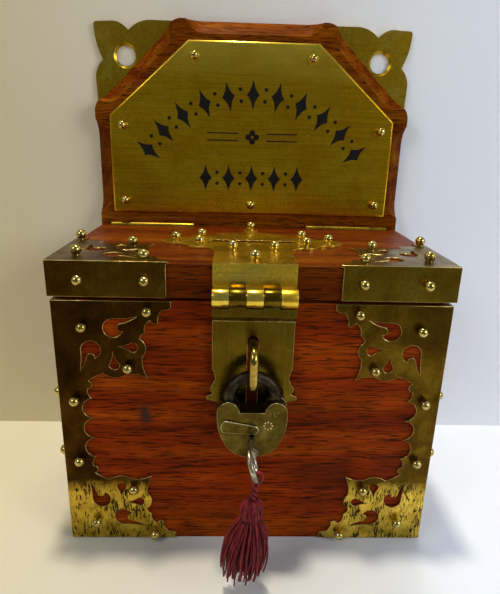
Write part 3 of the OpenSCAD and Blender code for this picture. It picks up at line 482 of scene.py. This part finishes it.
# Partly painted light and shade, partly tarnish: the left-hand mount is darker in tone than the
# right-hand one.
for side, shift, tones, foot_tones in (
        ("left", 2.0, (BRASS_DARK, (0.048, 0.020, 0.0017), (0.104, 0.051, 0.0040)),
         ((0.390, 0.255, 0.0200), (0.680, 0.460, 0.0560))),
        ("right", 8.0, (BRASS_BROWN, (0.098, 0.052, 0.0040), BRASS_WARM),
         (BRASS_GOLD, BRASS_BRIGHT))):
    bm = copy_of("case_mount_" + side)
    ease_edges(bm, MOUNT_EASE, clamp=False)
    bright_walls(bm, "case_mount_" + side)
    sheet_brass = brass_finish(f"case_mount_{side}_brass", tones, shift, (0.28, 0.46))
    foot_reflection_and_specks(sheet_brass, foot_tones, shift)
    settle(bm, f"case_mount_{side}_fretwork", "case", [sheet_brass, glint_edge_brass],
           ["case_mount_" + side])

# --- Lid mounts ---------------------------------------------------------
# The same fretted brass on the lid's front corners, folded down over the
# front and the sides with soldered corners.
# Partly painted light and shade, partly tarnish: the left-hand lid mount is darker in tone than the
# right-hand one.
for side, shift, tones in (
        ("left", 14.0, (BRASS_BROWN, BRASS_OLIVE, (0.300, 0.210, 0.0180))),
        ("right", 19.0, ((0.110, 0.056, 0.0040), (0.200, 0.120, 0.0090), (0.380, 0.260, 0.0220)))):
    bm = copy_of("lid_mount_" + side)
    ease_edges(bm, MOUNT_EASE, clamp=False)
    bright_walls(bm, "lid_mount_" + side)
    settle(bm, f"lid_mount_{side}_fretwork", "lid",
           [brass_finish(f"lid_mount_{side}_brass", tones, shift, (0.24, 0.40)), glint_edge_brass],
           ["lid_mount_" + side])

# --- Slot strap and hasp ------------------------------------------------
# A wide brass strap round the coin slot, folded down over the lid's front
# and rolled into a barrel; the hasp hangs from it on a brass pin. The neck
# under the barrel lies in its shade, so its sawn edges get no painted glint.
NECK_DEPTH = 0.0170
STRAP_TONES = ((0.80, 0.48, 0.025), (0.92, 0.60, 0.050), (0.96, 0.72, 0.12))

for node, body, brushed, shift, tones in (
        ("slot_strap", "lid", "x", 24.0, STRAP_TONES),
        ("hasp_plate", "hasp", "z", 29.0, (BRASS_OLIVE, (0.140, 0.092, 0.0070), BRASS_WARM)),
        ("hasp_pin", "lid", "x", 33.0, (BRASS_OLIVE, BRASS_GOLD, BRASS_BRIGHT))):
    bm = copy_of(node)
    ease_edges(bm, MOUNT_EASE)
    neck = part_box(node)[1].z - NECK_DEPTH
    for face in bm.faces:
        if node == "hasp_plate" and face.calc_center_median().z > neck:
            face.material_index = 0
    settle(bm, node + "_brass", body,
           [brass_finish(node + "_finish", tones, shift, (0.20, 0.36), brushed), glint_edge_brass],
           [node])

# --- Plaque -------------------------------------------------------------
# A plate of sheet brass with a bevelled edge, brushed along its length and
# nailed to the backboard. It carries no words: an arch and a row of cut
# lozenges, filled with black wax, stand where a plate has its lettering.
PLAQUE_TONES = ((0.50, 0.235, 0.004), (0.68, 0.385, 0.008), (0.86, 0.560, 0.025))
PLAQUE_TOP_WEAR_AND_SHEEN = (1.0, 0.68, 0.06)
TOP_BAND_DEPTH, TOP_BAND_WANDER, TOP_BAND_PATCH = 0.022, 0.036, (0.050, 0.050, 0.030)
PLAQUE_BEVEL, LEAST_EDGE, IN_PLANE = 0.0011, 0.01, 1e-5
UPWARD = 0.5
WAX_PROUD, WAX_DEPTH = 0.00006, 0.00020
ARCH_RADIUS, ARCH_LOW, ARCH_STEP, ARCH_HALF = 0.0816, -0.0066, math.radians(11), 5
CUT_LONG, CUT_WIDE, CUT_WAIST, CUT_STEPS = 0.0185, 0.0082, 0.55, 4
ROW_HEIGHT, ROW_PITCH, ROW_HALF, ROW_LONG = 0.0235, 0.0150, 2, 0.01702
DOT, DOT_REACH = 0.00115, 0.0035
MIDDLE_HEIGHT, PETAL, PETAL_REACH = 0.0495, 0.0019, 0.0026
RULE_LONG, RULE_WIDE, RULE_PLACE, RULE_DROP = 0.0200, 0.0008, 0.0190, 0.0022

plaque_low, plaque_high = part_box("plaque")
front_y = plaque_low.y
bm = copy_of("plaque")
ease_edges(bm, PLAQUE_BEVEL, keep=lambda e: e.calc_length() > LEAST_EDGE and all(
    v.co.y < front_y + IN_PLANE for v in e.verts))
# Only the bevel faces that face up keep the second finish: a painted highlight along the top edge.
for face in bm.faces:
    if face.normal.z < UPWARD:
        face.material_index = 0
plaque_brass = brass_finish("plaque_brass", PLAQUE_TONES, 40.0, (0.22, 0.32), "x", 0.030)
tree = plaque_brass.node_tree
base = tree.nodes["Principled BSDF"].inputs["Base Color"]
# The plaque's top band is painted bright gold: partly wear, partly a painted highlight.
top_band_from = plaque_high.z - TOP_BAND_DEPTH + TOP_BAND_WANDER / 2
top_wear_and_sheen = share_by_height(tree, clouds(tree, TOP_BAND_PATCH, 3, 0.5, 0.4, 43.0), TOP_BAND_WANDER,
                         top_band_from, top_band_from + TOP_BAND_DEPTH, (0.0, 1.0))
tree.links.new(mixed(tree, top_wear_and_sheen, base.links[0].from_socket, PLAQUE_TOP_WEAR_AND_SHEEN), base)
settle(bm, "plaque_plate", "case", [plaque_brass, glint_edge_brass], ["plaque"])


def lozenge(long):
    """Four points joined by hollow sides, around the middle."""
    ends = [(0, long / 2), (CUT_WIDE / 2, 0), (0, -long / 2), (-CUT_WIDE / 2, 0)]
    points = []
    for i, (ax, az) in enumerate(ends):
        bx, bz = ends[(i + 1) % len(ends)]
        for step in range(CUT_STEPS):
            t = step / CUT_STEPS
            pull = 1 - (1 - CUT_WAIST) * 2 * t * (1 - t)
            points.append(((ax + (bx - ax) * t) * pull, (az + (bz - az) * t) * pull))
    return points


def ring_of(radius, sides=16):
    """The points of a round about the middle, as x and z."""
    turns = [2 * math.pi * i / sides for i in range(sides)]
    return [(radius * math.cos(turn), radius * math.sin(turn)) for turn in turns]


def inlay(bm, points, x_place, z_place, front, turn=0.0):
    """A thin flat filling of that outline, sunk in a face and just proud of it."""
    c, s = math.cos(turn), math.sin(turn)
    spots = [(x_place + x * c + z * s, z_place - x * s + z * c) for x, z in points]
    near = [bm.verts.new((x, front - WAX_PROUD, z)) for x, z in spots]
    far = [bm.verts.new((x, front + WAX_DEPTH, z)) for x, z in spots]
    bm.faces.new(near)
    bm.faces.new(far[::-1])
    for i in range(len(spots)):
        j = (i + 1) % len(spots)
        bm.faces.new((near[j], near[i], far[i], far[j]))


wax, tree, shader = new_finish("black_wax")
grain = clouds(tree, 0.0012, 3, 0.6, 0.0, 43.0)
tree.links.new(ramp(tree, grain, (0.3, (0.004, 0.0035, 0.003)), (0.7, (0.014, 0.010, 0.006))),
               shader.inputs["Base Color"])
tree.links.new(ramp(tree, grain, (0.3, 0.45), (0.7, 0.65)), shader.inputs["Roughness"])
shader.inputs["Specular IOR Level"].default_value = 0.15
bumped(tree, shader, grain, 0.00003, 0.4)
bm = bmesh.new()
arch_z, row_z, middle_z = (plaque_low.z + up for up in (ARCH_LOW, ROW_HEIGHT, MIDDLE_HEIGHT))
for i in range(-ARCH_HALF, ARCH_HALF + 1):
    turn = i * ARCH_STEP
    inlay(bm, lozenge(CUT_LONG), ARCH_RADIUS * math.sin(turn),
          arch_z + ARCH_RADIUS * math.cos(turn), front_y, turn)
    if i < ARCH_HALF:
        turn += ARCH_STEP / 2
        for radius in (ARCH_RADIUS - DOT_REACH, ARCH_RADIUS + DOT_REACH):
            inlay(bm, ring_of(DOT), radius * math.sin(turn), arch_z + radius * math.cos(turn),
                  front_y)
for i in range(-ROW_HALF, ROW_HALF + 1):
    inlay(bm, lozenge(ROW_LONG), i * ROW_PITCH, row_z, front_y)
    if i < ROW_HALF:
        for reach in (-DOT_REACH, DOT_REACH):
            inlay(bm, ring_of(DOT), (i + 0.5) * ROW_PITCH, row_z + reach, front_y)
for x, z in ring_of(PETAL_REACH, 4):
    inlay(bm, ring_of(PETAL), x, middle_z + z, front_y)
rule = [(x * RULE_LONG / 2, z * RULE_WIDE / 2) for x, z in ((-1, -1), (1, -1), (1, 1), (-1, 1))]
for side in (-1, 1):
    for drop in (-RULE_DROP, RULE_DROP):
        inlay(bm, rule, side * RULE_PLACE, middle_z + drop, front_y)
bmesh.ops.recalc_face_normals(bm, faces=bm.faces)
settle(bm, "plaque_ornament", "case", [wax])

# --- Hanging plates -----------------------------------------------------
# Cut brass ears let into the back of the board, each with a hole that is
# dished towards the front, for the wall hooks.
DISH, DISH_STEPS = 0.0014, 4
RIM_MARGIN = 0.0004
EAR_TONES = ((0.28, 0.16, 0.008), (0.42, 0.26, 0.012), BRASS_BRIGHT)

holes = next(m for m in frame["record"]["mounts"] if m["name"] == "hanging_holes")
reach = holes["dims"]["spacing_x_mm"] / 2000
rim_reach = holes["dims"]["hole_r_mm"] / 1000 + RIM_MARGIN
for side, shift, x in (("left", 46.0, -reach), ("right", 51.0, reach)):
    node = "hanging_plate_" + side
    bm = copy_of(node)
    near_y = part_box(node)[0].y
    middle = Vector((x, near_y, holes["pos_m"][2]))
    rim = [e for e in bm.edges if all(abs(v.co.y - near_y) < IN_PLANE and
                                      (v.co - middle).length < rim_reach for v in e.verts)]
    dished = bmesh.ops.bevel(bm, geom=rim, offset=DISH, offset_type="OFFSET", affect="EDGES",
                             segments=DISH_STEPS, profile=0.5, material=-1, clamp_overlap=True)
    for face in dished["faces"]:
        face.smooth = True
    settle(bm, node + "_ear", "case",
           [brass_finish(node + "_brass", EAR_TONES, shift, (0.26, 0.42)), glint_edge_brass],
           [node])

# --- Nails --------------------------------------------------------------
# Turned brass nails with ball heads on small collars, driven through the
# mounts into the oak and rubbed bright.
NAIL_TONES = ((0.30, 0.21, 0.04), (0.55, 0.42, 0.11), (0.74, 0.62, 0.25))

nail_brass = brass_finish("nail_brass", NAIL_TONES, 57.0, (0.12, 0.24), patch=0.0035)
for node in ("case_mount_nails", "lid_mount_nails", "strap_nails", "plaque_nails"):
    frame["nodes"][node].material_slots[0].material = nail_brass

# --- Butt hinges --------------------------------------------------------
# Two cast brass butts between the lid's back edge and the backboard, each
# with five knuckles on a steel pin and three countersunk screws a leaf.
STEEL_TONES = ((0.055, 0.050, 0.045), (0.130, 0.120, 0.110), (0.250, 0.240, 0.225))


def steel_finish(name, tones, patch, shift, rough, pit, relief):
    """Old steel in three tones, pitted. Rough is (dullest, shiniest), pit is
    the noise of the pits and relief their depth and strength."""
    material, tree, shader = new_finish(name)
    shader.inputs["Metallic"].default_value = 1.0
    patina = clouds(tree, patch, 5, 0.65, 0.4, shift)
    tree.links.new(ramp(tree, patina, (0.34, tones[0]), (0.55, tones[1]), (0.70, tones[2])),
                   shader.inputs["Base Color"])
    tree.links.new(ramp(tree, patina, (0.3, rough[0]), (0.7, rough[1])),
                   shader.inputs["Roughness"])
    bumped(tree, shader, clouds(tree, pit[0], pit[1], 0.6, 0.0, shift + 1), *relief)
    return material


hinge_brass = brass_finish("hinge_brass", (BRASS_OLIVE, BRASS_GOLD, BRASS_BRIGHT), 61.0,
                           (0.24, 0.40))
pin_steel = steel_finish("worn_steel", STEEL_TONES, 0.004, 66.0, (0.55, 0.34), (0.0012, 4),
                         (0.00008, 0.5))
for side in ("left", "right"):
    for node in ("hinge_board_leaf_", "hinge_lid_leaf_"):
        frame["nodes"][node + side].material_slots[0].material = hinge_brass
    frame["nodes"]["hinge_pin_" + side].material_slots[0].material = pin_steel
for node in ("hinge_board_screws", "hinge_lid_screws", "hanging_plate_screws"):
    frame["nodes"][node].material_slots[0].material = hinge_brass

# --- Staple -------------------------------------------------------------
# A staple bent from brass bar. Its legs go through the case front and are
# riveted over a back plate; the padlock's shackle has rubbed it bright.
STAPLE_TONES = (BRASS_OLIVE, (0.42, 0.29, 0.06), BRASS_BRIGHT)

staple_brass = brass_finish("staple_brass", STAPLE_TONES, 71.0, (0.14, 0.28), patch=0.006)
for node in ("hasp_staple", "staple_back_plate"):
    frame["nodes"][node].material_slots[0].material = staple_brass

# --- Padlock ------------------------------------------------------------
# A shield-shaped brass padlock with a browned steel shackle, a rivet at each
# joint, a drop-shaped cover that swings over its keyhole, and a ring of
# punched dots on its face.
LOCK_TONES = ((0.075, 0.046, 0.006), (0.130, 0.092, 0.014), (0.260, 0.200, 0.040))
# Painted highlight: the padlock's eased edges are painted pale, where they catch the light. The
# punched dots take the same pale brass.
LOCK_PALE_TONES = ((0.45, 0.35, 0.13), (0.80, 0.68, 0.36), (0.95, 0.86, 0.58))
SHACKLE_TONES = ((0.016, 0.011, 0.006), (0.048, 0.036, 0.021), (0.120, 0.096, 0.062))
PUNCH_X, PUNCH_Z, PUNCH_RING, PUNCH_DOT, PUNCHES = 0.0080, 0.0839, 0.0020, 0.00042, 8

lock_brass = brass_finish("padlock_brass_finish", LOCK_TONES, 76.0, (0.26, 0.42), patch=0.008)
lock_pale_brass = brass_finish("padlock_pale_brass", LOCK_PALE_TONES, 77.0, (0.26, 0.36), patch=0.006)
for node, body, ease in (("padlock_body", "padlock", 0.00065),
                         ("keyhole_cover", "cover", 0.0004)):
    bm = copy_of(node)
    ease_edges(bm, ease)
    settle(bm, node + "_case", body, [lock_brass, lock_pale_brass], [node])
bm = bmesh.new()
lock_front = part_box("padlock_body")[0].y
for x, z in ring_of(PUNCH_RING, PUNCHES):
    inlay(bm, ring_of(PUNCH_DOT, 8), PUNCH_X + x, PUNCH_Z + z, lock_front)
bmesh.ops.recalc_face_normals(bm, faces=bm.faces)
settle(bm, "padlock_punch_marks", "padlock", [lock_pale_brass])
for node in ("shackle_rivet", "cover_rivet"):
    frame["nodes"][node].material_slots[0].material = lock_brass
frame["nodes"]["shackle"].material_slots[0].material = steel_finish(
    "browned_steel", SHACKLE_TONES, 0.005, 78.0, (0.58, 0.38), (0.0011, 4), (0.00010, 0.6))

# --- Key ----------------------------------------------------------------
# A small steel key with a round stem and a ring bow. Its old plating has
# worn through to the warmer metal below.
KEY_TONES = ((0.20, 0.15, 0.08), (0.42, 0.37, 0.27), (0.62, 0.58, 0.48))

frame["nodes"]["key"].material_slots[0].material = steel_finish(
    "worn_plating", KEY_TONES, 0.005, 81.0, (0.38, 0.20), (0.001, 3), (0.00004, 0.4))

# --- Tassel -------------------------------------------------------------
# A crimson silk tassel: a twisted cord looped through the key's bow, a head
# of folded yarn tied at its foot and a full skirt of loose twisted yarn.
# The silk's tones are painted shade and painted highlight: deep for the shaded gaps, lit for the
# highlights.
SILK_IN_SHADE = (0.070, 0.002, 0.003)
SILK_RED = (0.200, 0.008, 0.010)
SILK_LIT = (0.330, 0.020, 0.030)
TASSEL_SEED = 11
LOOP_RADIUS, CORD_WIDTH, STRANDS_APART = 0.0026, 0.0017, 0.0019
LOOP_OPEN = math.radians(50)
TWIST_TURNS, TWIST_TOP, TWIST_FOOT = 1.75, -0.0044, -0.0140
HEAD_YARNS, HEAD_YARN, HEAD_BULGE = 36, 0.00056, 0.0053
TIE_TURNS, TIE_RADIUS = 4, 0.0041
SKIRT_YARNS, SKIRT_YARN, SKIRT_RADIUS = 210, 0.00048, 0.0122
SKIRT_RINGS, PLY_DEPTH, PLY_LENGTH = 11, 0.18, 0.0042
TASSEL_LEAN, HEAD_DROP, SKIRT_LIFT = -0.0062, 0.0030, 0.0036
HEAD_NECK, HEAD_TUCK, CORE_RADIUS, CORE_HALF = 0.0012, 0.0010, 0.0046, 0.0047
TIE_YARN, TIE_PLY, TIE_PITCH, TIE_RISE = 0.00045, 0.0016, 0.0008, 0.0006
CORD_PLY, LOOP_STEPS, TWIST_STEPS, HEAD_RINGS, TIE_STEPS = 0.0022, 24, 14, 10, 20


def tube(bm, uv, path, radius, sides=6, ply=0.0, ply_length=PLY_LENGTH):
    """A yarn along a path. A plied one has two strands, seen as a slow twist."""
    points = [Vector(p) for p in path]
    across = Vector((1, 0.2, 0.1))
    rings, run = [], 0.0
    for i, point in enumerate(points):
        ahead = (points[min(i + 1, len(points) - 1)] - points[max(i - 1, 0)]).normalized()
        across = (across - ahead * across.dot(ahead)).normalized()
        other = ahead.cross(across)
        if i:
            run += (point - points[i - 1]).length
        ring = []
        for k in range(sides):
            turn = 2 * math.pi * k / sides
            swell = 1 + ply * math.cos(2 * (turn - math.pi * run / ply_length))
            reach = (across * math.cos(turn) + other * math.sin(turn)) * radius * swell / (1 + ply)
            ring.append(bm.verts.new(point + reach))
        rings.append((ring, run))
    for (low, low_run), (high, high_run) in zip(rings, rings[1:]):
        for k in range(sides):
            face = bm.faces.new((low[k], low[(k + 1) % sides], high[(k + 1) % sides], high[k]))
            face.smooth = True
            for loop, u, v in zip(face.loops, (k, k + 1, k + 1, k),
                                  (low_run, low_run, high_run, high_run)):
                loop[uv].uv = (u / sides, v * 1000)
    bm.faces.new(rings[0][0][::-1])
    bm.faces.new(rings[-1][0])


silk, tree, shader = new_finish("crimson_silk_thread")
# Streaks of painted shade and painted highlight along the tassel.
silk_shade_and_highlight = clouds(tree, (0.0016, 0.0016, 0.020), 3, 0.6, 0.0, 90.0)
ply_place = add(tree, "Mapping", Vector=add(tree, "UVMap").outputs["UV"], Rotation=(0, 0, 0.6))
ply_grooves = add(tree, "TexWave", Vector=ply_place.outputs["Vector"], Scale=0.9, Distortion=0.6,
              Detail=1.0).outputs["Fac"]
tone = ramp(tree, silk_shade_and_highlight, (0.32, SILK_IN_SHADE), (0.52, SILK_RED), (0.72, SILK_LIT))
# Painted shade: the grooves between the plies are darker.
tone = mixed(tree, 1.0, tone, ramp(tree, ply_grooves, (0.1, 0.55), (0.7, 1.15)), "MULTIPLY")
tree.links.new(tone, shader.inputs["Base Color"])
tree.links.new(ramp(tree, silk_shade_and_highlight, (0.3, 0.72), (0.7, 0.48)), shader.inputs["Roughness"])
shader.inputs["Specular IOR Level"].default_value = 0.3
bumped(tree, shader, ply_grooves, 0.00010, 0.5)

draw = random.Random(TASSEL_SEED)
cord_box, head_box, skirt_box = (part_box("tassel_" + part) for part in ("cord", "head", "skirt"))
hang = Vector(((cord_box[0].x + cord_box[1].x) / 2, (cord_box[0].y + cord_box[1].y) / 2,
               cord_box[1].z - (cord_box[1].x - cord_box[0].x) / 2))
head_top, head_foot = (box.z - hang.z - HEAD_DROP for box in reversed(head_box))
skirt_foot = skirt_box[0].z - hang.z + SKIRT_LIFT


def on_tassel(x, y, z):
    """A place on the tassel, which hangs a little to the left from its loop."""
    return hang + Vector((x + TASSEL_LEAN * z / skirt_foot, y, z))


def strand(side, top_first):
    """Half of the cord below its loop, twisted round the other half."""
    points = []
    for i in range(TWIST_STEPS + 1):
        t = i / TWIST_STEPS
        turn = 2 * math.pi * TWIST_TURNS * t + (0 if side > 0 else math.pi)
        points.append(on_tassel(STRANDS_APART / 2 * math.cos(turn),
                                STRANDS_APART / 2 * math.sin(turn),
                                TWIST_TOP + (TWIST_FOOT - TWIST_TOP) * t))
    return points if top_first else points[::-1]


turns = [-math.pi / 2 + LOOP_OPEN + 2 * (math.pi - LOOP_OPEN) * i / LOOP_STEPS
         for i in range(LOOP_STEPS + 1)]
loop = [hang + Vector((LOOP_RADIUS * math.cos(turn), 0, LOOP_RADIUS * math.sin(turn)))
        for turn in turns]
cord_path = strand(1, False) + loop + strand(-1, True)
bm = bmesh.new()
tube(bm, bm.loops.layers.uv.new("UVMap"), cord_path, CORD_WIDTH / 2, 10, 0.08, CORD_PLY)
cord_piece = settle(bm, "tassel_cord_loop", "tassel", [silk], ["tassel_cord"])

bm = bmesh.new()
uv = bm.loops.layers.uv.new("UVMap")
for i in range(HEAD_YARNS):
    start = 2 * math.pi * i / HEAD_YARNS
    bulge = HEAD_BULGE * draw.uniform(0.94, 1.05)
    lift = draw.uniform(-0.0003, 0.0003)
    path = []
    for k in range(HEAD_RINGS):
        t = k / (HEAD_RINGS - 1)
        swell = math.sin(math.pi * (0.80 * t + 0.02)) ** 0.75
        radius = HEAD_NECK + (bulge - HEAD_NECK) * swell
        turn = start + 0.5 * t
        path.append(on_tassel(radius * math.cos(turn), radius * math.sin(turn),
                              head_top + lift + (head_foot - head_top - HEAD_TUCK) * t))
    tube(bm, uv, path, HEAD_YARN, 6, PLY_DEPTH)
core = bmesh.ops.create_uvsphere(bm, u_segments=20, v_segments=12, radius=1.0)["verts"]
for vert in core:
    vert.co = on_tassel(vert.co.x * CORE_RADIUS, vert.co.y * CORE_RADIUS,
                        (head_top + head_foot) / 2 + vert.co.z * CORE_HALF)
settle(bm, "tassel_head_yarn", "tassel", [silk], ["tassel_head"])

bm = bmesh.new()
uv = bm.loops.layers.uv.new("UVMap")
path = [on_tassel(TIE_RADIUS * math.cos(turn), TIE_RADIUS * math.sin(turn),
                  head_foot + TIE_RISE - TIE_PITCH * turn / (2 * math.pi))
        for turn in (2 * math.pi * k / TIE_STEPS for k in range(TIE_STEPS * TIE_TURNS + 1))]
tube(bm, uv, path, TIE_YARN, 6, PLY_DEPTH, TIE_PLY)
settle(bm, "tassel_tie", "tassel", [silk])

bm = bmesh.new()
uv = bm.loops.layers.uv.new("UVMap")
golden = math.pi * (3 - math.sqrt(5))
for i in range(SKIRT_YARNS):
    share = math.sqrt((i + 0.5) / SKIRT_YARNS)
    start = golden * i + draw.uniform(-0.15, 0.15)
    wide = SKIRT_RADIUS * share * draw.uniform(0.92, 1.03)
    foot = skirt_foot + draw.uniform(0.0, 0.0035) + 0.0025 * share * draw.random()
    sway, phase, lean = draw.uniform(0.04, 0.16), draw.uniform(0, 6.28), draw.uniform(-0.12, 0.12)
    path = []
    for k in range(SKIRT_RINGS):
        t = k / (SKIRT_RINGS - 1)
        fall = 1 - (1 - t) ** 3.0
        radius = wide * (0.30 + 0.70 * fall) * (1 - 0.10 * t ** 4)
        turn = start + lean * t + sway * math.sin(phase + 5 * t) * t
        path.append(on_tassel(radius * math.cos(turn), radius * math.sin(turn),
                              head_foot + (foot - head_foot) * t))
    tube(bm, uv, path, SKIRT_YARN * draw.uniform(0.85, 1.12), 5, PLY_DEPTH)
settle(bm, "tassel_skirt_yarn", "tassel", [silk], ["tassel_skirt"])
